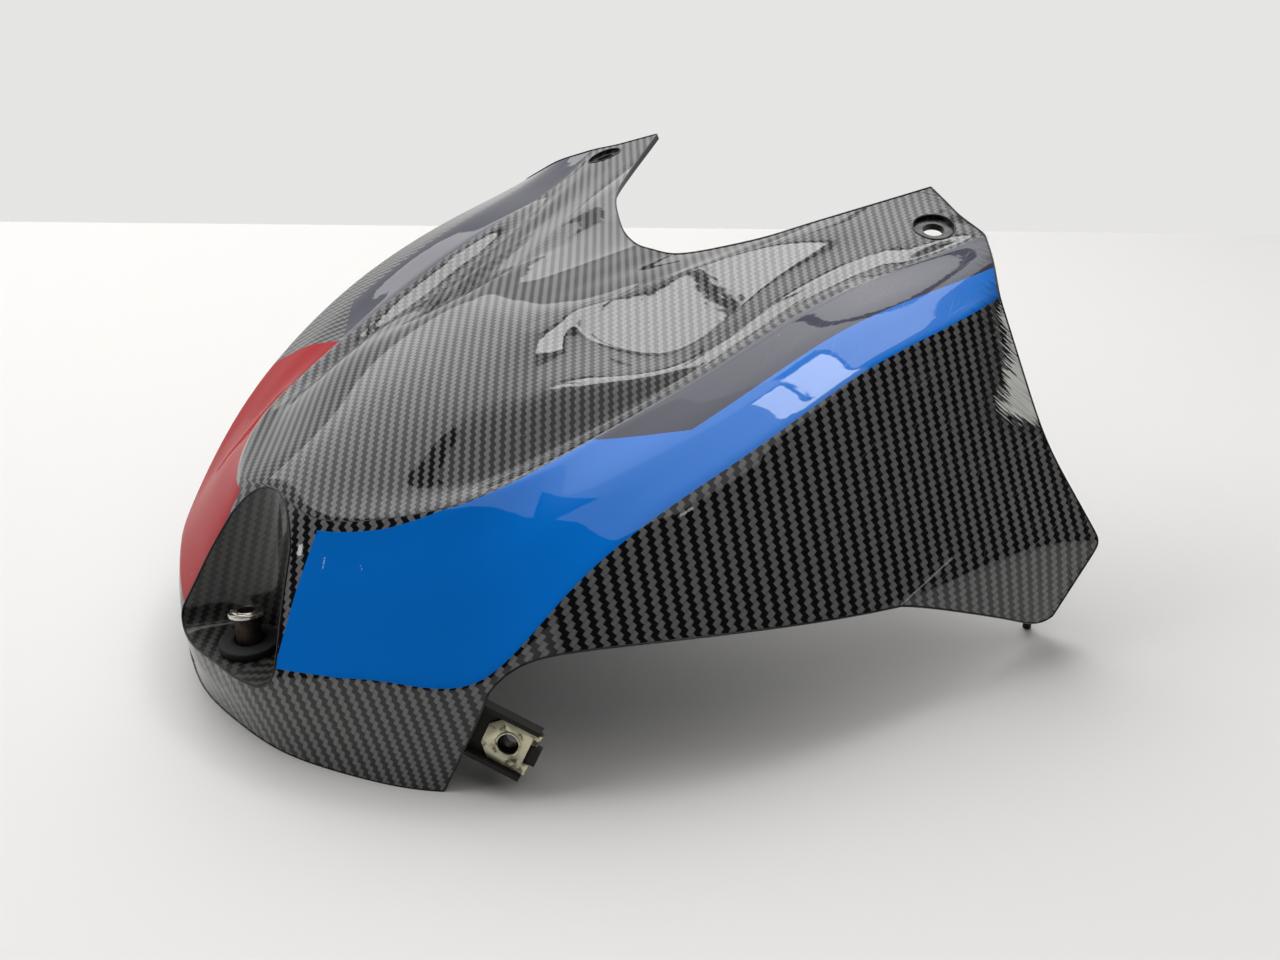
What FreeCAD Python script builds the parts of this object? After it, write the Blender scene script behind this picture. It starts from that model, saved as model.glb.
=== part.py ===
import FreeCAD
import Part
import os
from FreeCAD import Vector

# Motorcycle tank cover, in millimetres. While it is shaped, X runs from the nose's front edge
# to the wing tips, Y runs across with the middle at zero, and Z is up from the table.

WALL = 2.6

# Hard points of the outer skin, one line of points per feature line, from the middle of the
# nose round to the end of the left wing. The right half is the mirror of the left.
NOTCH = [(219, 0, 131), (220, 10, 131), (223, 20, 133), (227, 27, 135), (233, 35, 137.5),
         (242, 45, 141), (256, 54, 145), (281, 67, 150.5), (307, 80, 156)]
CREST = [(142, 0, 127.5), (142, 9, 127.5), (143, 17, 127.5), (148, 24.5, 127.5), (166, 29.5, 129.5),
         (199, 40, 135), (232, 53.5, 141), (264, 70.5, 145.5), (303, 90, 152.5)]
DENT = [(126, 0, 125), (126, 12, 124.7), (128, 23, 124), (140, 31, 123.8), (146, 41, 120.5),
        (166, 63, 114.5), (213, 66.5, 130), (258, 80, 142), (299, 99, 149.3)]
HOOD = [(78, 0, 111), (79, 20, 110), (86, 36, 109.2), (99, 46, 109.7), (122, 54, 112.5),
        (162, 69.5, 113), (210, 75, 127.5), (255, 87, 139.5), (297.5, 104, 147.8)]
VALLEY = [(40, 0, 94), (41, 23, 89), (58, 46, 89), (76, 57, 91), (104, 64, 95.5),
          (159, 75, 109), (207, 82, 123.5), (252, 93, 136.3), (296, 109.5, 146.3)]
RIDGE = [(27, 0, 86), (28, 24, 82.5), (50, 51, 86), (69, 62.5, 90.5), (98, 71.5, 98.5),
         (155, 83.5, 114.4), (206, 89.6, 127.5), (250, 98, 134.5), (294.5, 115, 144.6)]
CREASE = [(-5.8, 0, 29.5), (-3.2, 25, 32.5), (17, 63, 40), (40, 93, 43), (78, 106, 74),
          (137, 122, 101), (189, 129, 116.5), (230, 134.5, 123.5), (268.5, 138.8, 129.5)]
FLANK = [(-5, 0, 20), (-2, 26.5, 21), (15, 62, 25), (37, 92, 26), (72, 112, 52),
         (129, 138, 68), (182, 151, 73), (226, 158, 77), (268, 166, 77)]
FOLD = [(-2.5, 0, 10), (0.5, 28.5, 10.5), (14, 61, 12), (33, 89, 13), (68, 113, 42),
        (122, 143, 50), (180, 164, 44), (224, 178, 47), (268, 195, 43)]
RIM = [(0, 0, -1), (2.5, 30, -1), (13, 60, -1), (28, 85, -1), (62, 113, 25),
       (118, 150, 30), (182, 171, 22), (228, 180, 12), (258, 184, 6)]
BROW_CROWN = 2.5

# How far each line is rounded into the strips beside it. ROUND_SHARE is the largest share of a
# strip, and None takes all of that share.
ROUND_SHARE = 0.46
CREST_ROUND = [None, None, 40, 10, 4, 3, 4, 25, None]
DENT_ROUND = [None, None, 40, 10, 5, 4, 5, 20, None]
VALLEY_ROUND = 9.0
RIDGE_ROUND = 5.0
CREASE_ROUND = 5.0
FOLD_ROUND = 6.0

# Side outline of the lower edge, as X and Z: the skirt's end, the arch over it, the wing's edge
SKIRT_END_X = 27.5
LOWER_EDGE = [(41, 37.6), (49, 45.5), (66, 49), (92, 49.5), (118, 48), (148, 44.5), (177, 41)]
WING_EDGE = [(177, 41), (205, 30), (235, 15.5), (249, 9), (256, 8), (263, 13)]

# Pocket in the nose, with the sleeve's seat in its floor
POCKET_FLOOR = 29.0
POCKET_HALF = 31.0
POCKET_TAPER = 0.63
POCKET_CORNER = 10.0
POCKET_BACK_LOW = 23.0
POCKET_BACK_HIGH = 28.0
POCKET_SIDE_LOW = 12.0
POCKET_SIDE_HIGH = 24.0
POCKET_TURN_IN = 0.3
POCKET_TURN_OUT = 0.52
POCKET_TOP = 100.0
POCKET_MOUTH_X = -30.0
SEAT_X = 8.7
SEAT_RADIUS = 14.5

# Rubber grommet and the flanged sleeve pushed up through it
GROMMET_RADIUS = 10.7
GROMMET_NECK = 7.5
GROMMET_LIP = 3.0
SLEEVE_RADIUS = 4.6
SLEEVE_BORE = 3.25
SLEEVE_LONG = 23.0
SLEEVE_BELOW = 8.0
FLANGE_RADIUS = 6.6
FLANGE_THICK = 1.6
SLEEVE_AXIS = (0.134, 0.182, 0.974)

# Wing screw holes
HOLE_X = 285.5
HOLE_Y = 96.3
HOLE_RADIUS = 4.4
RECESS_RADIUS = 8.6
RECESS_DEEP = 1.6
BOSS_RADIUS = 12.0
BOSS_DEEP = 6.0
BOSS_INSET = 1.0

# Clip tab at each end of the skirt, and the clip nut on it
TAB_CENTRE = (44.5, 99.3, 18.8)
TAB_OUT = (0.447, 0.811, -0.377)
TAB_FACE = (-0.786, 0.558, 0.2675)
TAB_ROOT = 18.5
TAB_END = 8.4
TAB_THICK = 2.4
RAIL_HIGH = 3.0
RAIL_WIDE = 1.6
TONGUE_HALF = 3.2
TONGUE_LONG = 2.6
TAB_HOLE = 4.5
CLIP_SHEET = 1.0
CLIP_HALF = 7.6
CLIP_PLAY = 0.4
CLIP_BACK = 8.6
CLIP_CHAMFER = 4.0
CLIP_HOLE = 3.6
NUT_BORE = 2.5
NUT_RADIUS = 4.2
NUT_HIGH = 4.0

# Locating peg under each wing
PEG_X = 257.0
PEG_Y = 175.5
PEG_RADIUS = 1.7
PEG_HIGH = 22.0
WEB_HALF = 1.3
WEB_LOW = 12.0
WEB_LONG = 14.0


def vectors(points):
    return [Vector(x, y, z) for x, y, z in points]


def mixed(a, b, share):
    return a + (b - a) * share


def mirrored(v):
    return Vector(v.x, -v.y, v.z)


def flipped(shape):
    return shape.mirror(Vector(0, 0, 0), Vector(0, 1, 0))


def both_sides(half):
    return [mirrored(v) for v in reversed(half[1:])] + half


# The net of rails, from the notch out to the rim
ridge = vectors(RIDGE)
crease = vectors(CREASE)
brow = [mixed(a, b, 0.5) + Vector(0, 0, BROW_CROWN) for a, b in zip(ridge, crease)]
rails = [vectors(NOTCH), vectors(CREST), vectors(DENT), vectors(HOOD), vectors(VALLEY), ridge,
         brow, crease, vectors(FLANK), vectors(FOLD), vectors(RIM)]
stations = len(NOTCH)
rounds = [None, CREST_ROUND, DENT_ROUND, [None] * stations, [VALLEY_ROUND] * stations,
          [RIDGE_ROUND] * stations, [None] * stations, [CREASE_ROUND] * stations,
          [None] * stations, [FOLD_ROUND] * stations, None]


def strip_normals(net):
    """Unit normal of each strip between two rails, at each station."""
    found = []
    for low, high in zip(net[:-1], net[1:]):
        row = []
        for s in range(stations):
            after = min(s + 1, stations - 1)
            along = Vector(0, 0, 0)
            for rail in (low, high):
                before = rail[s - 1] if s > 0 else mirrored(rail[1])
                along = along + (rail[after] - before)
            row.append(along.cross(high[s] - low[s]).normalize())
        found.append(row)
    return found


def sunk(net, depth):
    """The same net moved in by the wall, with each strip kept parallel to itself."""
    normals = strip_normals(net)
    moved = []
    for k, rail in enumerate(net):
        before = normals[max(k - 1, 0)]
        after = normals[min(k, len(normals) - 1)]
        row = []
        for s, point in enumerate(rail):
            total = before[s] + after[s]
            row.append(point - total * (depth / (1 + before[s].dot(after[s]))))
        moved.append(row)
    return moved


def beside(net, k, other, s):
    """A point near rail k on its way to another rail, as far off as the rounding reaches."""
    away = net[other][s] - net[k][s]
    reach = rounds[k][s]
    share = ROUND_SHARE if reach is None else min(ROUND_SHARE, reach / away.Length)
    return net[k][s] + away * share


def skin(net):
    """One smooth surface on the net, with each rail rounded."""
    rows = [net[0], [mixed(a, b, 0.3) for a, b in zip(net[0], net[1])]]
    for k in range(1, len(net) - 1):
        rows.append([beside(net, k, k - 1, s) for s in range(stations)])
        rows.append(net[k])
        rows.append([beside(net, k, k + 1, s) for s in range(stations)])
    rows.append([mixed(a, b, 0.3) for a, b in zip(net[-1], net[-2])])
    rows.append(net[-1])
    curves = []
    for row in rows:
        curve = Part.BSplineCurve()
        points = both_sides(row)
        curve.interpolate(Points=points, Parameters=[float(i) for i in range(len(points))])
        curves.append(curve)
    across = len(rows) - 3
    surface = Part.BSplineSurface()
    surface.buildFromPolesMultsKnots(
        [list(poles) for poles in zip(*[c.getPoles() for c in curves])],
        curves[0].getMultiplicities(), [4] + [1] * (across - 1) + [4],
        curves[0].getKnots(), [float(i) for i in range(across + 1)], False, False, 3, 3)
    return surface


# Moulded skin: outer and inner surfaces joined round their edges
outer = skin(rails)
inner = skin(sunk(rails, WALL))
u0, u1, v0, v1 = outer.bounds()
faces = [outer.toShape(), inner.toShape()]
for a, b in ((outer.uIso(u0), inner.uIso(u0)), (outer.uIso(u1), inner.uIso(u1)),
             (outer.vIso(v0), inner.vIso(v0)), (outer.vIso(v1), inner.vIso(v1))):
    faces.append(Part.makeRuledSurface(a.toShape(), b.toShape()))
sewn = Part.Shell(faces)
sewn.sewShape()
shell = Part.Solid(sewn)
if shell.Volume < 0:
    shell.reverse()


def side_curve(points):
    curve = Part.BSplineCurve()
    curve.interpolate([Vector(x, 0, z) for x, z in points])
    return curve.toShape()


# Everything below the lower edge is cut away
low, span = -40.0, 500.0
front = Vector(-60, 0, 0)
skirt_foot = Vector(SKIRT_END_X, 0, 0)
skirt_top = Vector(LOWER_EDGE[0][0], 0, LOWER_EDGE[0][1])
wing_end = Vector(WING_EDGE[-1][0], 0, WING_EDGE[-1][1])
below = Part.Wire([
    Part.makeLine(front, skirt_foot), Part.makeLine(skirt_foot, skirt_top),
    side_curve(LOWER_EDGE), side_curve(WING_EDGE),
    Part.makeLine(wing_end, Vector(wing_end.x + 60, 0, wing_end.z)),
    Part.makeLine(Vector(wing_end.x + 60, 0, wing_end.z), Vector(wing_end.x + 60, 0, low)),
    Part.makeLine(Vector(wing_end.x + 60, 0, low), Vector(front.x, 0, low)),
    Part.makeLine(Vector(front.x, 0, low), front)])
trim = Part.Face(below).extrude(Vector(0, span, 0))
trim.translate(Vector(0, -span / 2, 0))
shell = shell.cut(trim)


def pocket(grow):
    """The pocket's hollow, or with a wall's thickness added, the block it is cut from."""
    wires = []
    bottom = POCKET_FLOOR - grow
    for rise in (0.0, 0.25 * POCKET_CORNER, 0.9 * POCKET_CORNER, POCKET_TOP - bottom):
        z = bottom + rise
        up = rise / (POCKET_TOP - bottom)
        side_x = POCKET_SIDE_LOW + (POCKET_SIDE_HIGH - POCKET_SIDE_LOW) * up
        back_x = POCKET_BACK_LOW + (POCKET_BACK_HIGH - POCKET_BACK_LOW) * up
        drop = max(POCKET_CORNER - rise, 0.0)
        corner = POCKET_CORNER - (POCKET_CORNER ** 2 - drop ** 2) ** 0.5
        half = POCKET_HALF - corner + 1.2 * grow
        mouth = Vector(POCKET_MOUTH_X, half - POCKET_TAPER * POCKET_MOUTH_X, z)
        side = Vector(side_x, half - POCKET_TAPER * side_x, z)
        back = Vector(back_x + grow, 0, z)
        turn = Vector(back_x + grow - POCKET_TURN_IN * (back_x - side_x), POCKET_TURN_OUT * side.y, z)
        arc = Part.BSplineCurve()
        arc.interpolate([side, turn, back, mirrored(turn), mirrored(side)])
        wires.append(Part.Wire([Part.makeLine(mouth, side), arc.toShape(),
                                Part.makeLine(mirrored(side), mirrored(mouth)),
                                Part.makeLine(mirrored(mouth), mouth)]))
    hollow = Part.makeLoft(wires, True, True)
    seat = Part.makeCylinder(SEAT_RADIUS + grow, POCKET_CORNER + grow,
                             Vector(SEAT_X, 0, POCKET_FLOOR - grow))
    return hollow.fuse(seat)


# The pocket's own walls reach no further out than the skin
middle = (u0 + u1) / 2
nose = outer.toShape(middle - 3, middle + 3, 6.0, v1).extrude(Vector(90, 0, -45))
shell = shell.fuse(pocket(WALL).common(nose).cut(trim))
shell = shell.cut(pocket(0.0))
shell = shell.cut(Part.makeCylinder(GROMMET_NECK, 4 * WALL, Vector(SEAT_X, 0, POCKET_FLOOR - 2 * WALL)))

# Wing holes, each square to the skin where it stands
for sign in (1, -1):
    hu, hv = outer.parameter(Vector(HOLE_X, sign * HOLE_Y, 146))
    seat = outer.value(hu, hv)
    up = outer.normal(hu, hv)
    if up.z < 0:
        up = up * -1
    boss = Part.makeCylinder(BOSS_RADIUS, BOSS_DEEP - BOSS_INSET, seat - up * BOSS_INSET, up * -1)
    shell = shell.fuse(boss)
    shell = shell.cut(Part.makeCylinder(RECESS_RADIUS, RECESS_DEEP + 5, seat - up * RECESS_DEEP, up))
    shell = shell.cut(Part.makeCylinder(HOLE_RADIUS, BOSS_DEEP + 20, seat - up * (BOSS_DEEP + 10), up))

core = skin(sunk(rails, WALL / 2))


def outside(u_from, u_to, v_from, away):
    """A block that lies beyond the middle of the wall, to cut inside fittings to length."""
    return core.toShape(u_from, u_to, v_from, v1).extrude(away)


# Each side's tab is drawn flat with the screw's axis upward, then laid on the skirt's end
tab_out = Vector(*TAB_OUT).normalize()
tab_face = Vector(*TAB_FACE).normalize()
tab_side = tab_face.cross(tab_out)
tab_place = FreeCAD.Placement(FreeCAD.Matrix(
    tab_out.x, tab_side.x, tab_face.x, TAB_CENTRE[0], tab_out.y, tab_side.y, tab_face.y, TAB_CENTRE[1],
    tab_out.z, tab_side.z, tab_face.z, TAB_CENTRE[2], 0, 0, 0, 1))


def block(x0, x1, y0, y1, z0, z1):
    return Part.makeBox(x1 - x0, y1 - y0, z1 - z0, Vector(x0, y0, z0))


def laid(shape):
    shape.Placement = tab_place.multiply(shape.Placement)
    return shape


tab_half = CLIP_HALF + CLIP_PLAY + RAIL_WIDE
tab = block(-TAB_ROOT, TAB_END, -tab_half, tab_half, -TAB_THICK, 0)
for edge in (-tab_half, tab_half - RAIL_WIDE):
    tab = tab.fuse(block(-TAB_ROOT, TAB_END, edge, edge + RAIL_WIDE, -TAB_THICK, RAIL_HIGH))
tab = tab.fuse(block(0, TAB_END + TONGUE_LONG, -TONGUE_HALF, TONGUE_HALF, -TAB_THICK, 0))
tab = tab.fuse(block(TAB_END, TAB_END + TONGUE_LONG, -TONGUE_HALF, TONGUE_HALF, -TAB_THICK, CLIP_SHEET))
tab = tab.cut(Part.makeCylinder(TAB_HOLE, 4 * TAB_THICK, Vector(0, 0, -2 * TAB_THICK)))
tab = laid(tab.removeSplitter())
tab = tab.cut(outside(middle + 1.2, middle + 3.0, 17.0, Vector(-40, 25, 0)))

# Locating pegs, each on a thin web inside the wing's lower corner
peg = Part.makeCylinder(PEG_RADIUS, PEG_HIGH, Vector(PEG_X, PEG_Y, 0))
web = block(PEG_X - WEB_HALF, PEG_X + WEB_HALF, PEG_Y, PEG_Y + WEB_LONG, WEB_LOW, PEG_HIGH)
peg = peg.fuse(web.cut(outside(middle + 6, u1, 21.0, Vector(0, 60, -20))))
for extra in (tab, peg):
    shell = shell.fuse(extra).fuse(flipped(extra))

# Clip nut: a bent sheet over the tab's end, with the threaded nut underneath
clip_end = TAB_END + CLIP_SHEET
eased = -CLIP_BACK + CLIP_CHAMFER
half_eased = CLIP_HALF - CLIP_CHAMFER
leaf = Part.makePolygon([Vector(eased, -CLIP_HALF, 0), Vector(clip_end, -CLIP_HALF, 0),
                         Vector(clip_end, CLIP_HALF, 0), Vector(eased, CLIP_HALF, 0),
                         Vector(-CLIP_BACK, half_eased, 0), Vector(-CLIP_BACK, -half_eased, 0),
                         Vector(eased, -CLIP_HALF, 0)])
top_leaf = Part.Face(leaf).extrude(Vector(0, 0, CLIP_SHEET))
low_leaf = top_leaf.copy()
low_leaf.translate(Vector(0, 0, -TAB_THICK - CLIP_SHEET))
bend = block(TAB_END, clip_end, -CLIP_HALF, CLIP_HALF, -TAB_THICK - CLIP_SHEET, CLIP_SHEET)
nut = Part.makeCylinder(NUT_RADIUS, NUT_HIGH, Vector(0, 0, -TAB_THICK - CLIP_SHEET - NUT_HIGH))
clip = top_leaf.fuse(low_leaf).fuse(bend).fuse(nut)
slot = TONGUE_HALF + CLIP_PLAY
clip = clip.cut(block(TAB_END - 1.5, clip_end + 1, -slot, slot, -TAB_THICK - 2 * CLIP_SHEET, 2 * CLIP_SHEET))
clip = clip.cut(Part.makeCylinder(CLIP_HOLE, 2 * CLIP_SHEET, Vector(0, 0, -CLIP_SHEET / 2)))
clip = clip.cut(Part.makeCylinder(NUT_BORE, 30, Vector(0, 0, -20)))
clip = laid(clip.removeSplitter())

# Rubber grommet in the pocket's floor, its bore leaning with the sleeve
seat_low = POCKET_FLOOR - WALL
axis_point = Vector(SEAT_X, 0, POCKET_FLOOR - WALL / 2)
axis = Vector(*SLEEVE_AXIS).normalize()
grommet = Part.makeCylinder(GROMMET_RADIUS, GROMMET_LIP, Vector(SEAT_X, 0, POCKET_FLOOR))
grommet = grommet.fuse(Part.makeCylinder(GROMMET_NECK, WALL, Vector(SEAT_X, 0, seat_low)))
under_lip = Vector(SEAT_X, 0, seat_low - GROMMET_LIP)
grommet = grommet.fuse(Part.makeCylinder(GROMMET_RADIUS, GROMMET_LIP, under_lip))
grommet = grommet.cut(Part.makeCylinder(SLEEVE_RADIUS, 40, axis_point - axis * 20, axis))

# Flanged sleeve, standing up out of the grommet
foot = axis_point - axis * SLEEVE_BELOW
sleeve = Part.makeCylinder(SLEEVE_RADIUS, SLEEVE_LONG, foot, axis)
flange_foot = foot + axis * (SLEEVE_LONG - FLANGE_THICK)
sleeve = sleeve.fuse(Part.makeCylinder(FLANGE_RADIUS, FLANGE_THICK, flange_foot, axis))
sleeve = sleeve.cut(Part.makeCylinder(SLEEVE_BORE, SLEEVE_LONG + 2, foot - axis, axis))

# The middle of the shell's length becomes the origin
box = shell.optimalBoundingBox()
centre = Vector((box.XMin + box.XMax) / 2, 0, 0)
nodes = {"tank_cover_shell": shell, "nose_grommet": grommet, "flanged_sleeve": sleeve,
         "clip_nut_left": clip, "clip_nut_right": flipped(clip)}
os.makedirs("parts", exist_ok=True)
for name, shape in nodes.items():
    shape.translate(centre * -1)
    shape.exportStep("parts/" + name + ".step")
    print(name, shape.isValid(), len(shape.Solids), round(shape.Volume), shape.optimalBoundingBox())
print("centre", centre.x)
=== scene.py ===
import math
import bmesh
import bpy
import numpy as np
from mathutils import Matrix, Vector, kdtree


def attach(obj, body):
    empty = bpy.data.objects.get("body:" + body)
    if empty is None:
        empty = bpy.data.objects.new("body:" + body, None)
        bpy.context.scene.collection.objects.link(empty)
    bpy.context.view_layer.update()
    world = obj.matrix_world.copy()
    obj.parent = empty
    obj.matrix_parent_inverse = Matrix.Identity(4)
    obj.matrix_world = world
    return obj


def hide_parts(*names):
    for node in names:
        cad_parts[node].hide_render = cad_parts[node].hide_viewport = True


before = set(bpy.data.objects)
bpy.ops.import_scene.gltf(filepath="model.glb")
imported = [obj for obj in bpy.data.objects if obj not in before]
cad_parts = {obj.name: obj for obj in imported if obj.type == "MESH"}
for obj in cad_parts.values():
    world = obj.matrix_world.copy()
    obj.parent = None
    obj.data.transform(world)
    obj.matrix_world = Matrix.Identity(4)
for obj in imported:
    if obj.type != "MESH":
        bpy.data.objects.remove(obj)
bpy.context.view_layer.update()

# Motorcycle tank cover. Shapes are written in millimetres in the shaping frame, where X runs from
# the nose to the wing tips, and are moved to the part's own frame, in metres, as each mesh is made.

WALL = 2.6

# Hard points of the outer skin, one line per feature, from the middle of the nose to the left wing
NOTCH = [(219, 0, 131), (220, 10, 131), (223, 20, 133), (227, 27, 135), (233, 35, 137.5),
         (242, 45, 141), (256, 54, 145), (281, 67, 150.5), (307, 80, 156)]
CREST = [(142, 0, 127.5), (142, 9, 127.5), (143, 17, 127.5), (148, 24.5, 127.5), (166, 29.5, 129),
         (199, 40, 135.6), (232, 53.5, 141.2), (264, 70.5, 145.5), (303, 90, 152.5)]
DENT = [(126, 0, 125), (126, 12, 124.7), (128, 23, 124), (140, 31, 122.5), (146, 41, 118),
        (166, 63, 115.4), (213, 66.5, 129.8), (258, 80, 141.6), (299, 99, 149.3)]
HOOD = [(78, 0, 111), (79, 20, 110), (86, 36, 109.2), (99, 46, 109.7), (122, 54, 112.5),
        (162, 69.5, 113), (210, 75, 127.5), (255, 87, 139.5), (297.5, 104, 147.8)]
VALLEY = [(40, 0, 94), (41, 23, 89), (58, 46, 89), (76, 57, 91), (104, 64, 95.5),
          (159, 75, 109), (207, 82, 123.5), (252, 93, 136.3), (296, 109.5, 146.3)]
RIDGE = [(27, 0, 86), (28, 24, 82.5), (50, 51, 86), (69, 62.5, 90.5), (98, 71.5, 98.5),
         (155, 83.5, 114.4), (206, 89.6, 127.5), (250, 98, 134.5), (294.5, 115, 144.6)]
CREASE = [(-5.8, 0, 29.5), (-3.2, 25, 32.5), (17, 63, 40), (40, 93, 43), (78, 106, 74),
          (137, 122, 101), (189, 129, 116.5), (230, 134.5, 123.5), (268.5, 138.8, 129.5)]
FLANK = [(-5, 0, 20), (-2, 26.5, 21), (15, 62, 25), (37, 92, 26), (72, 112, 52),
         (129, 138, 68), (182, 151, 73), (226, 158, 77), (268, 166, 77)]
FOLD = [(-2.5, 0, 10), (0.5, 28.5, 10.5), (14, 61, 12), (33, 89, 13), (68, 113, 42),
        (122, 143, 50), (180, 164, 44), (224, 178, 47), (268, 195, 43)]
RIM = [(0, 0, -1), (2.5, 30, -1), (13, 60, -1), (28, 85, -1), (62, 113, 25),
       (118, 150, 30), (182, 171, 22), (228, 180, 12), (258, 184, 6)]
BROW_CROWN = 2.5
ROUND_SHARE, END_SHARE, FREE = 0.46, 0.3, math.inf
CREST_ROUND = [FREE, FREE, 40, 10, 4, 3, 4, 25, FREE]
DENT_ROUND = [FREE, FREE, 40, 10, 5, 4, 5, 20, FREE]
VALLEY_ROUND, RIDGE_ROUND, CREASE_ROUND, FOLD_ROUND = 9.0, 5.0, 5.0, 6.0
ROUNDS = [FREE, CREST_ROUND, DENT_ROUND, FREE, VALLEY_ROUND, RIDGE_ROUND, FREE,
          CREASE_ROUND, FREE, FOLD_ROUND, FREE]
V_RIDGE, V_CREASE = 14.0, 20.0

# Side outline of the lower edge, as X and Z
SKIRT_END_X = 27.5
TRIM_BEYOND, TRIM_DEEP, TRIM_WIDE, TRIM_SAMPLES = 60.0, 40.0, 250.0, 90
LOWER_EDGE = [(41, 37.6), (49, 45.5), (66, 49), (92, 49.5), (118, 48), (148, 44.5), (177, 41)]
WING_EDGE = [(177, 41), (205, 30), (235, 15.5), (249, 9), (256, 8), (263, 13)]

# Nose pocket, grommet and sleeve
POCKET_FLOOR, POCKET_HALF, POCKET_TAPER, POCKET_CORNER = 29.0, 31.0, 0.63, 10.0
POCKET_BACK_LOW, POCKET_BACK_HIGH, POCKET_SIDE_LOW, POCKET_SIDE_HIGH = 23.0, 28.0, 12.0, 24.0
POCKET_TOP, POCKET_MOUTH_X = 100.0, -30.0
POCKET_TURN_IN, POCKET_TURN_OUT, POCKET_SIDE_GROWTH, SEAT_LAP = 0.3, 0.52, 1.2, 0.001
NOSE_STATION, NOSE_FROM_V, NOSE_AWAY = 3, 6.0, (90, 0, -45)
SEAT_X, SEAT_RADIUS = 8.7, 14.5
GROMMET_RADIUS, GROMMET_NECK, GROMMET_LIP = 10.7, 7.5, 3.0
SLEEVE_RADIUS, SLEEVE_BORE, SLEEVE_LONG, SLEEVE_BELOW = 4.6, 3.25, 23.0, 8.0
FLANGE_RADIUS, FLANGE_THICK, FLANGE_COLLAR, RIM_OUT, RIM_IN = 6.6, 1.6, 0.55, 0.4, 0.2
MOUTH_WIDE, MOUTH_DEEP, BRIGHT_BELOW, BRIGHT_OUT, MARGIN = 1.2, 1.6, 0.4, 0.2, 0.05
RUBBER_EASE, SLEEVE_EASE, NUT_EASE = 0.7, 0.35, 0.25
UPWARD = (0, 0, 1)
SLEEVE_AXIS = Vector((0.134, 0.182, 0.974)).normalized()

# Wing holes, clip tabs, clip nuts and pegs
HOLE_X, HOLE_Y, HOLE_NEAR_Z, HOLE_RADIUS = 285.5, 96.3, 146.0, 4.4
RECESS_RADIUS, RECESS_DEEP, BOSS_RADIUS, BOSS_DEEP = 8.6, 1.6, 12.0, 4.6
BOSS_INSET, RECESS_OVER, BORE_OVER = 1.0, 5.0, 10.0
TAB_CENTRE = Vector((44.5, 99.3, 18.8))
TAB_OUT = Vector((0.447, 0.811, -0.377)).normalized()
TAB_FACE = Vector((-0.786, 0.558, 0.2675)).normalized()
TAB_ROOT, TAB_END, TAB_THICK, TAB_REACH, TONGUE_LAP = 18.5, 8.4, 2.4, 9.0, 0.5
TAB_STATIONS, TAB_FROM_V, TAB_AWAY = (1.2, 3.0), 17.0, (-40, 25, 0)
RAIL_HIGH, RAIL_WIDE, TONGUE_HALF, TONGUE_LONG, TAB_HOLE = 3.0, 1.6, 3.2, 2.6, 4.5
CLIP_SHEET, CLIP_HALF, CLIP_PLAY, CLIP_BACK, CLIP_CHAMFER = 1.0, 7.6, 0.4, 8.6, 4.0
CLIP_BEND, CLIP_OVER, CLIP_CUT_TOP, CLIP_EASE, SLOT_IN = 1.3, 1.0, 3.0, 0.22, 1.5
CLIP_HOLE, NUT_BORE, NUT_RADIUS, NUT_HIGH, NUT_LAP = 3.6, 2.5, 4.2, 4.0, 0.4
COLLAR_WIDE, COLLAR_TOP, COLLAR_LAP, COLLAR_HIGH, BORE_MARGIN = 0.9, 0.7, 0.2, 0.45, 0.3
SCREW_FOOT, SCREW_TOP, CLIP_HOLE_LONG, NUT_BORE_LONG, EASE_ANGLE = -0.5, 5.0, 3.0, 30.0, 40
PEG_X, PEG_Y, PEG_RADIUS, PEG_HIGH = 257.0, 175.5, 1.7, 22.0
WEB_HALF, WEB_LOW, WEB_LONG, WEB_LAP = 1.3, 12.0, 14.0, 0.01
PEG_STATION, PEG_FROM_V, PEG_AWAY = 6.0, 21.0, (0, 60, -20)

# Grid of the visible skin: every third line of it makes the inside
GRID_ALONG, GRID_ACROSS, INSIDE_STEP = 324, 189, 3
SHELL_SHARP, METAL_SHARP = 32, 35

STATIONS = len(NOTCH)
MIDDLE = STATIONS - 1.0
LAST_U = 2.0 * MIDDLE


def strip_normals(net):
    """Unit normal of each strip between two rails, at each station."""
    before = np.concatenate([net[:, 1:2] * [1, -1, 1], net[:, :-1]], axis=1)
    after = np.concatenate([net[:, 1:], net[:, -1:]], axis=1)
    along = after - before
    normal = np.cross(along[:-1] + along[1:], net[1:] - net[:-1])
    return normal / np.linalg.norm(normal, axis=2, keepdims=True)


def sunk(net, depth):
    """The same net moved in, with each strip kept parallel to itself."""
    normal = strip_normals(net)
    before = np.concatenate([normal[:1], normal])
    after = np.concatenate([normal, normal[-1:]])
    share = depth / (1 + (before * after).sum(axis=2, keepdims=True))
    return net - (before + after) * share


def pole_rows(net):
    """Rows of poles across the net, each from the right wing's end to the left's."""
    def beside(k, other):
        away = net[other] - net[k]
        share = np.minimum(ROUND_SHARE, np.array(ROUNDS[k]) / np.linalg.norm(away, axis=1))
        return net[k] + away * share[:, None]

    rows = [net[0], net[0] + END_SHARE * (net[1] - net[0])]
    for k in range(1, len(net) - 1):
        rows += [beside(k, k - 1), net[k], beside(k, k + 1)]
    rows += [net[-1] + END_SHARE * (net[-2] - net[-1]), net[-1]]
    half = np.array(rows)
    return np.concatenate([half[:, :0:-1] * [1, -1, 1], half], axis=1)


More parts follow.
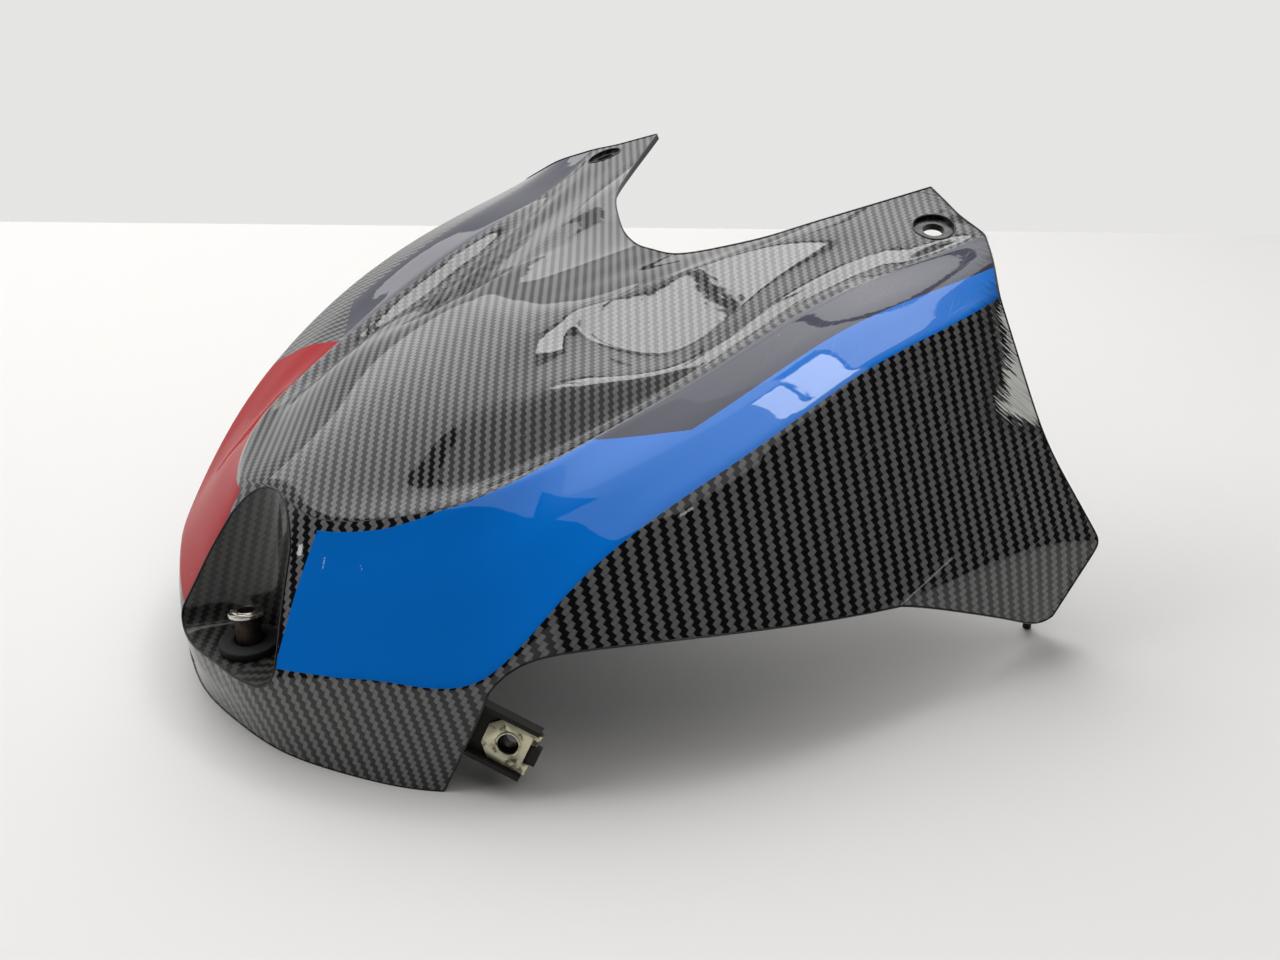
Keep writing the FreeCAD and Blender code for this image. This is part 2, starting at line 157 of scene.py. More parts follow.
def spline_weights(knots, at):
    """Weights of the points of an interpolating cubic spline at the given places."""
    knots, at = np.asarray(knots, float), np.asarray(at, float)
    n, h = len(knots), np.diff(knots)
    left, right = np.eye(n), np.zeros((n, n))
    for i in range(1, n - 1):
        a, b = h[i - 1], h[i]
        left[i, i - 1:i + 2] = b, 2 * (a + b), a
        right[i, i - 1:i + 2] = -3 * b / a, 3 * (b / a - a / b), 3 * a / b
    for end, nodes in ((0, range(0, 4)), (n - 1, range(n - 1, n - 5, -1))):
        for j in nodes:
            rest = [m for m in nodes if m not in (end, j)]
            if j == end:
                right[end, j] = sum(1 / (knots[end] - knots[m]) for m in rest)
            else:
                top = np.prod([knots[end] - knots[m] for m in rest])
                right[end, j] = top / np.prod([knots[j] - knots[m] for m in rest + [end]])
    slopes = np.linalg.solve(left, right)
    i = np.clip(np.searchsorted(knots, at, side="right") - 1, 0, n - 2)
    t, step = (at - knots[i]) / h[i], h[i]
    weights = np.zeros((len(at), n))
    row = np.arange(len(at))
    weights[row, i] = 2 * t ** 3 - 3 * t ** 2 + 1
    weights[row, i + 1] += 3 * t ** 2 - 2 * t ** 3
    weights += ((t ** 3 - 2 * t ** 2 + t) * step)[:, None] * slopes[i]
    return weights + ((t ** 3 - t ** 2) * step)[:, None] * slopes[i + 1]


def basis(poles, at):
    """Cubic B-spline weights on even knots with clamped ends."""
    spans = poles - 3
    knots = np.concatenate([[0] * 3, np.arange(spans + 1), [spans] * 3]).astype(float)
    at = np.clip(np.asarray(at, float), 0, spans - 1e-9)[:, None]
    weights = ((knots[:-1] <= at) & (at < knots[1:])).astype(float)
    for d in range(1, 4):
        low, high = knots[d:-1] - knots[:-d - 1], knots[d + 1:] - knots[1:-d]
        a = np.where(low > 0, (at - knots[:-d - 1]) / np.where(low > 0, low, 1), 0)
        b = np.where(high > 0, (knots[d + 1:] - at) / np.where(high > 0, high, 1), 0)
        weights = a * weights[:, :-1] + b * weights[:, 1:]
    return weights


BROW = (np.array(RIDGE) + np.array(CREASE)) / 2 + [0, 0, BROW_CROWN]
NET = np.array([NOTCH, CREST, DENT, HOOD, VALLEY, RIDGE, BROW, CREASE, FLANK, FOLD, RIM], float)
OUTER = pole_rows(NET)
INNER = pole_rows(sunk(NET, WALL))
CORE = pole_rows(sunk(NET, WALL / 2))
LAST_V = len(OUTER) - 3.0


def surface(rows, u, v, sums="vj,jkc,uk->vuc"):
    """Points of a skin on a grid, as an array of across, along and coordinate."""
    across = basis(len(rows), v)
    along = spline_weights(range(rows.shape[1]), u)
    return np.einsum(sums, across, rows, along)


def skin_at(u, v):
    """Points of the outer skin at single places."""
    return surface(OUTER, u, v, "nj,jkc,nk->nc")


def even_places(points, places, axis, count, turn_weight):
    """Places along one way of a grid, spread by length and by how much the skin turns."""
    step = np.diff(points, axis=axis)
    length = np.linalg.norm(step, axis=2)
    way = step / np.maximum(length, 1e-6)[..., None]
    turn = np.linalg.norm(np.diff(way, axis=axis), axis=2)
    other = 1 - axis
    weight = length.mean(axis=other)
    bend = turn.mean(axis=other) * turn_weight
    weight[:-1] += bend / 2
    weight[1:] += bend / 2
    total = np.concatenate([[0], np.cumsum(weight)])
    return np.interp(np.linspace(0, total[-1], count + 1), total, places)


fine_u, fine_v = np.linspace(0, LAST_U, 641), np.linspace(0, LAST_V, 561)
fine = surface(OUTER, fine_u, fine_v)
GRID_U = even_places(fine, fine_u, 1, GRID_ALONG, 15.0)
GRID_V = even_places(fine, fine_v, 0, GRID_ACROSS, 25.0)
SKIN = surface(OUTER, GRID_U, GRID_V)
INSIDE = surface(INNER, GRID_U[::INSIDE_STEP], GRID_V[::INSIDE_STEP])
both = np.concatenate([SKIN.reshape(-1, 3), INSIDE.reshape(-1, 3)])
SHIFT_X = (both[:, 0].min() + both[:, 0].max()) / 2


def metres(points):
    return (np.asarray(points, float) - [SHIFT_X, 0, 0]) / 1000


# Slots of the shell's own faces
SLOT_COUNT = 4
SKIN_SLOT, UNDER_SLOT, EDGE_SLOT, POCKET_SLOT = range(SLOT_COUNT)


def slots_of(mesh):
    slots = np.zeros(len(mesh.polygons), np.int32)
    mesh.polygons.foreach_get("material_index", slots)
    return slots


def placed(name, data):
    """A new object in the scene."""
    piece = bpy.data.objects.new(name, data)
    bpy.context.scene.collection.objects.link(piece)
    return piece


def with_slots(name, mesh, shaped):
    """A shaped mesh as an object with empty slots."""
    shaped.to_mesh(mesh)
    shaped.free()
    for _ in range(SLOT_COUNT):
        mesh.materials.append(None)
    return placed(name, mesh)


def make_object(name, points, faces, slots=0):
    """A mesh object from millimetres, with its faces turned outward."""
    mesh = bpy.data.meshes.new(name)
    mesh.from_pydata(metres(points).tolist(), [], [list(map(int, f)) for f in faces])
    mesh.polygons.foreach_set("material_index", np.full(len(mesh.polygons), slots, np.int32))
    shaped = bmesh.new()
    shaped.from_mesh(mesh)
    bmesh.ops.recalc_face_normals(shaped, faces=shaped.faces)
    return with_slots(name, mesh, shaped)


def baked(piece):
    """A new mesh with a piece's modifiers or curves worked in."""
    return bpy.data.meshes.new_from_object(piece.evaluated_get(bpy.context.evaluated_depsgraph_get()))


def settle(piece):
    mesh = baked(piece)
    piece.modifiers.clear()
    piece.data = mesh


def combine(piece, tool, operation):
    """Cuts, joins or meets a piece with a tool, which is used up."""
    change = piece.modifiers.new("change", "BOOLEAN")
    change.operation, change.solver, change.object = operation, "EXACT", tool
    settle(piece)
    bpy.data.objects.remove(tool)
    return piece


def joined(name, pieces):
    """Several separate meshes as one object."""
    shaped = bmesh.new()
    for piece in pieces:
        shaped.from_mesh(piece.data)
        bpy.data.objects.remove(piece)
    return with_slots(name, bpy.data.meshes.new(name), shaped)


def grid_faces(rows, columns, start=0):
    j, i = np.meshgrid(np.arange(rows - 1), np.arange(columns - 1), indexing="ij")
    a = (start + j * columns + i).ravel()
    return np.stack([a, a + 1, a + columns + 1, a + columns], axis=1)


def border(rows, columns, start=0):
    """Indices round a grid's edge."""
    index = start + np.arange(rows * columns).reshape(rows, columns)
    return np.concatenate([index[0, :-1], index[:-1, -1], index[-1, :0:-1], index[:0:-1, 0]])


def make_shell_grid():
    """Outer and inner skins, closed round their edges."""
    rows, columns = SKIN.shape[:2]
    rows_in, columns_in = INSIDE.shape[:2]
    start = rows * columns
    outside = grid_faces(rows, columns)
    inside = grid_faces(rows_in, columns_in, start)
    edge_out, edge_in = border(rows, columns), border(rows_in, columns_in, start)
    faces = [*outside, *inside]
    count = len(edge_in)
    for k in range(count):
        run = [edge_out[(INSIDE_STEP * k + m) % len(edge_out)] for m in range(INSIDE_STEP + 1)]
        faces.append(run + [edge_in[(k + 1) % count], edge_in[k]])
    slots = [SKIN_SLOT] * len(outside) + [UNDER_SLOT] * len(inside) + [EDGE_SLOT] * count
    return make_object("tank_cover_skin", both, faces, slots)


def patch_prism(name, rows, u_range, v_range, away, slot):
    """A patch of a skin pulled along a direction into a closed block."""
    columns, lines = 61, 81
    top = surface(rows, np.linspace(*u_range, columns), np.linspace(*v_range, lines)).reshape(-1, 3)
    points = np.concatenate([top, top + np.array(away, float)])
    faces = [*grid_faces(lines, columns), *grid_faces(lines, columns, len(top))]
    edge = border(lines, columns)
    for a, b in zip(edge, np.roll(edge, -1)):
        faces.append([a, b, b + len(top), a + len(top)])
    return make_object(name, points, faces, slot)


def ring_faces(count, pairs):
    """Faces between pairs of rings of equally many points."""
    return [[k * count + i, k * count + (i + 1) % count, m * count + (i + 1) % count, m * count + i]
            for k, m in pairs for i in range(count)]


def loft(name, rings, slot):
    """A closed solid through rings of equally many points."""
    n, last = len(rings[0]), len(rings) - 1
    points = np.concatenate([np.asarray(r, float) for r in rings])
    caps = [range(n), range(n * last, n * last + n)]
    return make_object(name, points, caps + ring_faces(n, [(k, k + 1) for k in range(last)]), slot)


def circle(axis, sides):
    """Ways out from an axis all round it, and the axis itself."""
    axis = Vector(axis).normalized()
    side = axis.orthogonal().normalized()
    turn = np.linspace(0, 2 * math.pi, sides, endpoint=False)[:, None]
    return np.cos(turn) * np.array(side) + np.sin(turn) * np.array(axis.cross(side)), np.array(axis)


def cylinder(name, radius, length, foot, axis, slot, sides=96):
    out, way = circle(axis, sides)
    ring = np.array(foot, float) + radius * out
    return loft(name, [ring, ring + way * length], slot)


def lengths(points, axis=0):
    """The way along rows of points, at each of them."""
    steps = np.linalg.norm(np.diff(points, axis=axis), axis=-1)
    return np.insert(np.cumsum(steps, axis=axis), 0, 0.0, axis=axis)


def oblong(low, high, near, far):
    return [(low, near), (high, near), (high, far), (low, far)]


def through(points, samples):
    """A smooth curve through points, spaced along it."""
    points = np.array(points, float)
    chord = lengths(points)
    return spline_weights(chord, np.linspace(0, chord[-1], samples)) @ points


def make_trim():
    """Everything below the lower edge."""
    side = [(-TRIM_BEYOND, 0.0), (SKIRT_END_X, 0.0)]
    curve = np.concatenate([through(LOWER_EDGE, TRIM_SAMPLES), through(WING_EDGE, TRIM_SAMPLES)[1:]])
    end_x, end_z = WING_EDGE[-1]
    side += [tuple(p) for p in curve] + [(end_x + TRIM_BEYOND, end_z), (end_x + TRIM_BEYOND, -TRIM_DEEP)]
    side.append((-TRIM_BEYOND, -TRIM_DEEP))
    ring = np.array([(x, 0, z) for x, z in side])
    return loft("trim", [ring - [0, TRIM_WIDE, 0], ring + [0, TRIM_WIDE, 0]], EDGE_SLOT)


def make_pocket(name, grow, slot):
    """The pocket's hollow, or with a wall's thickness added, the block it is cut from."""
    rings = []
    bottom = POCKET_FLOOR - grow
    rises = [POCKET_CORNER * (1 - math.cos(math.radians(a))) for a in range(0, 91, 10)]
    for rise in rises + [POCKET_TOP - bottom]:
        up = rise / (POCKET_TOP - bottom)
        side_x = POCKET_SIDE_LOW + (POCKET_SIDE_HIGH - POCKET_SIDE_LOW) * up
        back_x = POCKET_BACK_LOW + (POCKET_BACK_HIGH - POCKET_BACK_LOW) * up
        drop = max(POCKET_CORNER - rise, 0.0)
        half = POCKET_HALF - POCKET_CORNER + math.sqrt(POCKET_CORNER ** 2 - drop ** 2)
        half += POCKET_SIDE_GROWTH * grow
        mouth_y = half - POCKET_TAPER * POCKET_MOUTH_X
        side_y = half - POCKET_TAPER * side_x
        turn_x, turn_y = back_x + grow - POCKET_TURN_IN * (back_x - side_x), POCKET_TURN_OUT * side_y
        bow = through([(side_x, side_y), (turn_x, turn_y), (back_x + grow, 0),
                       (turn_x, -turn_y), (side_x, -side_y)], 41)
        ring = [(POCKET_MOUTH_X, mouth_y)] + [tuple(p) for p in bow] + [(POCKET_MOUTH_X, -mouth_y)]
        rings.append([(x, y, bottom + rise) for x, y in ring])
    hollow = loft(name, rings, slot)
    foot = (SEAT_X, 0, bottom - SEAT_LAP)
    seat = cylinder("seat", SEAT_RADIUS + grow, POCKET_CORNER + grow, foot, UPWARD, slot)
    return combine(hollow, seat, "UNION")


def hole_seat(sign):
    """A wing hole's place on the skin, and the way square to it."""
    target = np.array([HOLE_X, sign * HOLE_Y, HOLE_NEAR_Z])
    near = np.linalg.norm(SKIN - target, axis=2)
    j, i = np.unravel_index(np.argmin(near), near.shape)
    u, v = GRID_U[i], GRID_V[j]
    step = 0.02
    for _ in range(12):
        here = skin_at([u], [v])[0]
        du = (skin_at([u + step], [v])[0] - here) / step
        dv = (skin_at([u], [v + step])[0] - here) / step
        move = np.linalg.lstsq(np.stack([du, dv], axis=1), target - here, rcond=None)[0]
        u, v = u + move[0], v + move[1]
    up = np.cross(du, dv)
    up = up / np.linalg.norm(up) * np.sign(up[2])
    return skin_at([u], [v])[0], up


TAB_SIDE = TAB_FACE.cross(TAB_OUT)
tab_half = CLIP_HALF + CLIP_PLAY + RAIL_WIDE


def on_tab(points, sign):
    """Points drawn flat on the tab, laid at the skirt's end on one side."""
    points = np.asarray(points, float)
    laid = (np.array(TAB_CENTRE) + points[:, :1] * np.array(TAB_OUT) + points[:, 1:2] * np.array(TAB_SIDE)
            + points[:, 2:] * np.array(TAB_FACE))
    return laid * [1, sign, 1]


def tab_block(name, outline, axis, span, sign, slot=0):
    """An outline on two of the tab's axes, pulled along the third."""
    rings = [on_tab(np.insert(np.array(outline, float), axis, end, axis=1), sign) for end in span]
    return loft(name, rings, slot)


def make_tab(sign):
    low, high = -TAB_THICK, RAIL_HIGH
    inner = tab_half - RAIL_WIDE
    section = [(-tab_half, low), (tab_half, low), (tab_half, high), (inner, high), (inner, 0), (-inner, 0),
               (-inner, high), (-tab_half, high)]
    tab = tab_block("tab", section, 0, (-TAB_ROOT, TAB_END), sign, UNDER_SLOT)
    outline = oblong(-TONGUE_HALF, TONGUE_HALF, low, CLIP_SHEET)
    ends = (TAB_END - TONGUE_LAP, TAB_END + TONGUE_LONG)
    tab = combine(tab, tab_block("tongue", outline, 0, ends, sign, UNDER_SLOT), "UNION")
    foot, face = on_tab([(0, 0, -TAB_REACH), (0, 0, TAB_REACH)], sign)
    hole = cylinder("hole", TAB_HOLE, 2 * TAB_REACH, foot, face - foot, UNDER_SLOT)
    tab = combine(tab, hole, "DIFFERENCE")
    u_range = sorted(MIDDLE + sign * k for k in TAB_STATIONS)
    away = np.array(TAB_AWAY) * [1, sign, 1]
    outside = patch_prism("outside", CORE, u_range, (TAB_FROM_V, LAST_V), away, UNDER_SLOT)
    return combine(tab, outside, "DIFFERENCE")


def make_peg(sign):
    peg = cylinder("peg", PEG_RADIUS, PEG_HIGH, (PEG_X, sign * PEG_Y, 0), UPWARD, UNDER_SLOT, 32)
    ring = oblong(PEG_X - WEB_HALF, PEG_X + WEB_HALF, sign * PEG_Y, sign * (PEG_Y + WEB_LONG))
    web = loft("web", [[(x, y, z) for x, y in ring] for z in (WEB_LOW, PEG_HIGH - WEB_LAP)], UNDER_SLOT)
    u_range = sorted(MIDDLE + sign * k for k in (PEG_STATION, MIDDLE))
    away = np.array(PEG_AWAY) * [1, sign, 1]
    outside = patch_prism("outside", CORE, u_range, (PEG_FROM_V, LAST_V), away, UNDER_SLOT)
    return combine(peg, combine(web, outside, "DIFFERENCE"), "UNION")


def make_shell():
    """The moulded cover, cut and joined as the real one is moulded."""
    shell = make_shell_grid()
    u_range = (MIDDLE - NOSE_STATION, MIDDLE + NOSE_STATION)
    nose = patch_prism("nose", CORE, u_range, (NOSE_FROM_V, LAST_V), NOSE_AWAY, UNDER_SLOT)
    added = [combine(make_pocket("pocket_block", WALL, UNDER_SLOT), nose, "INTERSECT")]
    cuts = [make_trim()]
    pocket = make_pocket("pocket", 0.0, POCKET_SLOT)
    foot = (SEAT_X, 0, POCKET_FLOOR - 2 * WALL)
    floor_hole = cylinder("hole", GROMMET_NECK, 4 * WALL, foot, UPWARD, EDGE_SLOT)
    cuts.append(combine(pocket, floor_hole, "UNION"))
    for sign in (1, -1):
        seat, up = hole_seat(sign)
        top, low = seat - up * BOSS_INSET, seat - up * (BOSS_DEEP + BORE_OVER)
        added.append(cylinder("boss", BOSS_RADIUS, BOSS_DEEP - BOSS_INSET, top, -up, UNDER_SLOT))
        floor, high = seat - up * RECESS_DEEP, RECESS_DEEP + RECESS_OVER
        recess = cylinder("recess", RECESS_RADIUS, high, floor, up, POCKET_SLOT)
        bore = cylinder("bore", HOLE_RADIUS, BOSS_DEEP + 2 * BORE_OVER, low, up, EDGE_SLOT)
        cuts.append(combine(recess, bore, "UNION"))
    shell = combine(shell, joined("added", added), "UNION")
    shell = combine(shell, joined("cuts", cuts), "DIFFERENCE")
    fittings = [make(sign) for make in (make_tab, make_peg) for sign in (1, -1)]
    return combine(shell, joined("fittings", fittings), "UNION")


# Fields over the skin, in millimetres: the way out from the ridge, up from the crease, in from the wing's end
V_FOLD = 26.0
FRONT_STATION, ARCH_STATION = 2.5, 3.5
RUN, REACH = lengths(SKIN), lengths(SKIN, 1)


def run_at(v):
    return np.array([np.interp(v, GRID_V, column) for column in RUN.T])


from_ridge = RUN - run_at(V_RIDGE)
above_crease = run_at(V_CREASE) - RUN
from_end = np.minimum(REACH, REACH[:, -1:] - REACH)
station = np.abs(GRID_U - MIDDLE)
on_left = GRID_U > MIDDLE

# Painted fields: one colour on each side, and a dark band along the ridge over the rear half
FIELD_TOP = ([1.0, 1.7, 2.3, 4.0], [4.0, 4.0, 0.8, 0.5])
FIELD_LOW = ([1.1, 1.75], [4.5, 0.3])
FIELD_FRONT_RIGHT, FIELD_FRONT_LEFT, FRONT_LEAN, FRONT_Z = 25.5, 20.0, 0.107, 79.8
LEFT_END_X, LEFT_END_LEAN = 92.0, 0.7
BAND_WIDE, BAND_START_X, BAND_SLANT = 22.0, 108.0, 1.1
SCRAPE = ([0, 28, 38, 48, 58, 65, 72, 79, 87, 94], [-12, -12, -3, 2, 3.5, 6, 13, 17, 6, -12])


def paint_fields():
    """Signed distances inside the coloured field, the dark band and the scraped corner."""
    x, y, z = SKIN[..., 0], SKIN[..., 1], SKIN[..., 2]
    top = from_ridge - np.interp(station, *FIELD_TOP)
    front = np.where(on_left, FIELD_FRONT_LEFT, FIELD_FRONT_RIGHT) + FRONT_LEAN * (FRONT_Z - z)
    field = np.minimum(np.minimum(top, above_crease - np.interp(station, *FIELD_LOW)), np.abs(y) - front)
    field = np.where(on_left, np.minimum(field, LEFT_END_X + LEFT_END_LEAN * (z - FRONT_Z) - x), field)
    band = np.minimum(np.minimum(top, BAND_WIDE - from_ridge), x - BAND_START_X - BAND_SLANT * from_ridge)
    scrape = np.where(on_left, -60.0, np.interp(from_ridge, *SCRAPE) - from_end)
    return np.stack([field, band, scrape], axis=2)


# Weave: width of a pair of strips, and length of a tooth along them, on the hood and on the sides
STRIP_HOOD, TOOTH_HOOD, STRIP_SIDE, TOOTH_SIDE = 3.45, 2.2, 4.3, 2.75
STRIP_LEAN = ([0, FRONT_STATION, ARCH_STATION, 8], [0.28, 0.28, 0.18, 0.22])
MIRROR_STATION = 2.9


def weave_fields():
    """Coordinates of the printed twill, laid from above and let down over the sides."""
    ridge = surface(OUTER, GRID_U, [V_RIDGE])[0]
    out = (surface(OUTER, GRID_U, [V_FOLD])[0] - ridge)[:, :2]
    out /= np.linalg.norm(out, axis=1, keepdims=True)
    outside = from_ridge > 0
    flip = np.where(outside & on_left & (station > MIRROR_STATION), -1.0, 1.0)
    x, y, z = SKIN[..., 0], SKIN[..., 1] * flip, SKIN[..., 2]
    drop = np.minimum(z - surface(OUTER, GRID_U, [V_CREASE])[0, :, 2], 0) * (above_crease < 0)
    across = (x - y) / math.sqrt(2) + drop * np.interp(station, *STRIP_LEAN)
    far_x = np.where(outside, ridge[:, 0] + out[:, 0] * from_ridge, x)
    far_y = np.where(outside, (ridge[:, 1] + out[:, 1] * from_ridge) * flip, y)
    along = (far_x + far_y) / math.sqrt(2)
    strip = np.where(outside, STRIP_SIDE, STRIP_HOOD)
    tooth = np.where(outside, TOOTH_SIDE, TOOTH_HOOD)
    return np.stack([2 * across / strip, along / tooth, np.zeros_like(x)], axis=2)


def place_fields():
    side = np.broadcast_to(np.where(on_left, 1.0, -1.0), from_end.shape)
    return np.stack([from_end, from_ridge, side], axis=2)


def skin_places(points):
    """Lines of the grid, as fractions, at points of the skin given in metres."""
    grid = metres(SKIN).reshape(-1, 3)
    tree = kdtree.KDTree(len(grid))
    for k, point in enumerate(grid):
        tree.insert(point, k)
    tree.balance()
    found = [tree.find(point)[1:] for point in points]
    nearest, gap = np.array([f[0] for f in found]), np.array([f[1] for f in found])
    j, i = np.divmod(nearest, len(GRID_U))
    lines = np.stack([j, i], axis=1).astype(float)
    loose = np.flatnonzero(gap > 1e-6)
    target = points[loose] * 1000 + [SHIFT_X, 0, 0]
    u, v = GRID_U[i[loose]], GRID_V[j[loose]]
    step = 1e-3
    for _ in range(4):
        here = skin_at(u, v)
        du = (skin_at(u + step, v) - here) / step
        dv = (skin_at(u, v - step) - here) / -step
        miss = target - here
        uu, uv, vv = (du * du).sum(1), (du * dv).sum(1), (dv * dv).sum(1)
        a, b = (du * miss).sum(1), (dv * miss).sum(1)
        spread = uu * vv - uv * uv + 1e-9
        u = np.clip(u + (a * vv - b * uv) / spread, 0, LAST_U)
        v = np.clip(v + (b * uu - a * uv) / spread, 0, LAST_V)
    lines[loose, 0] = np.interp(v, GRID_V, np.arange(len(GRID_V)))
    lines[loose, 1] = np.interp(u, GRID_U, np.arange(len(GRID_U)))
    return lines


def sampled(field, lines):
    low = np.minimum(lines.astype(int), np.array(field.shape[:2]) - 2)
    share = (lines - low)[..., None]
    j, i = low.T
    first = field[j, i] * (1 - share[:, 1]) + field[j, i + 1] * share[:, 1]
    second = field[j + 1, i] * (1 - share[:, 1]) + field[j + 1, i + 1] * share[:, 1]
    return first * (1 - share[:, 0]) + second * share[:, 0]


def dress_shell(shell):
    """Smooth shading, and the fields of the skin as attributes of its points."""
    mesh = shell.data
    shaped = bmesh.new()
    shaped.from_mesh(mesh)
    bmesh.ops.triangulate(shaped, faces=[f for f in shaped.faces if len(f.verts) > 4])
    shaped.to_mesh(mesh)
    shaped.free()
    mesh.shade_smooth()
    mesh.set_sharp_from_angle(angle=math.radians(SHELL_SHARP))
    owner = np.repeat(slots_of(mesh), [p.loop_total for p in mesh.polygons])
    corner = np.zeros(len(mesh.loops), np.int32)
    mesh.loops.foreach_get("vertex_index", corner)
    used = np.unique(corner[owner == SKIN_SLOT])
    points = np.zeros(len(mesh.vertices) * 3, np.float32)
    mesh.vertices.foreach_get("co", points)
    points = points.reshape(-1, 3).astype(float)
    lines = skin_places(points[used])
    for name, field in (("weave", weave_fields()), ("paint", paint_fields()), ("place", place_fields())):
        values = np.zeros((len(points), 3), np.float32)
        values[used] = sampled(field, lines)
        mesh.attributes.new(name, "FLOAT_VECTOR", "POINT").data.foreach_set("vector", values.ravel())


EDGE_ROUND, EDGE_STEP = 0.4, 1.2


def border_chains(mesh):
    """Runs of points where the skin meets a cut edge or the pocket."""
    sides = {}
    for face in mesh.polygons:
        for key in face.edge_keys:
            sides.setdefault(key, set()).add(face.material_index)
    links = {}
    for (a, b), slots in sides.items():
        if SKIN_SLOT in slots and slots & {EDGE_SLOT, POCKET_SLOT}:
            links.setdefault(a, []).append(b)
            links.setdefault(b, []).append(a)
    chains = []
    while links:
        chain = [next((k for k in links if len(links[k]) % 2), next(iter(links)))]
        while links.get(chain[-1]):
            here = chain[-1]
            there = links[here].pop()
            links[there].remove(here)
            chain.append(there)
        links = {k: ends for k, ends in links.items() if ends}
        chains.append(np.array([mesh.vertices[k].co for k in chain]))
    return chains


def make_rounded_edges(mesh):
    """A thin bead along every edge of the skin, which gives the moulding its rounded rim."""
    curve = bpy.data.curves.new("rounded_edges", "CURVE")
    curve.dimensions, curve.bevel_depth = "3D", EDGE_ROUND / 1000
    curve.bevel_resolution, curve.use_fill_caps = 1, True
    for chain in border_chains(mesh):
        run = lengths(chain)
        count = int(run[-1] * 1000 / EDGE_STEP)
        if count < 3:
            continue
        at = np.linspace(0, run[-1], count + 1)
        even = np.stack([np.interp(at, run, chain[:, k]) for k in range(3)], axis=1)
        line = curve.splines.new("POLY")
        line.points.add(count)
        line.points.foreach_set("co", np.c_[even, np.ones(len(even))].astype(np.float32).ravel())
    line = placed("rounded_edges", curve)
    mesh = baked(line)
    bpy.data.objects.remove(line)
    for vertex in mesh.vertices:
        vertex.co.z = max(vertex.co.z, 0.0)
    return placed("rounded_edges", mesh)


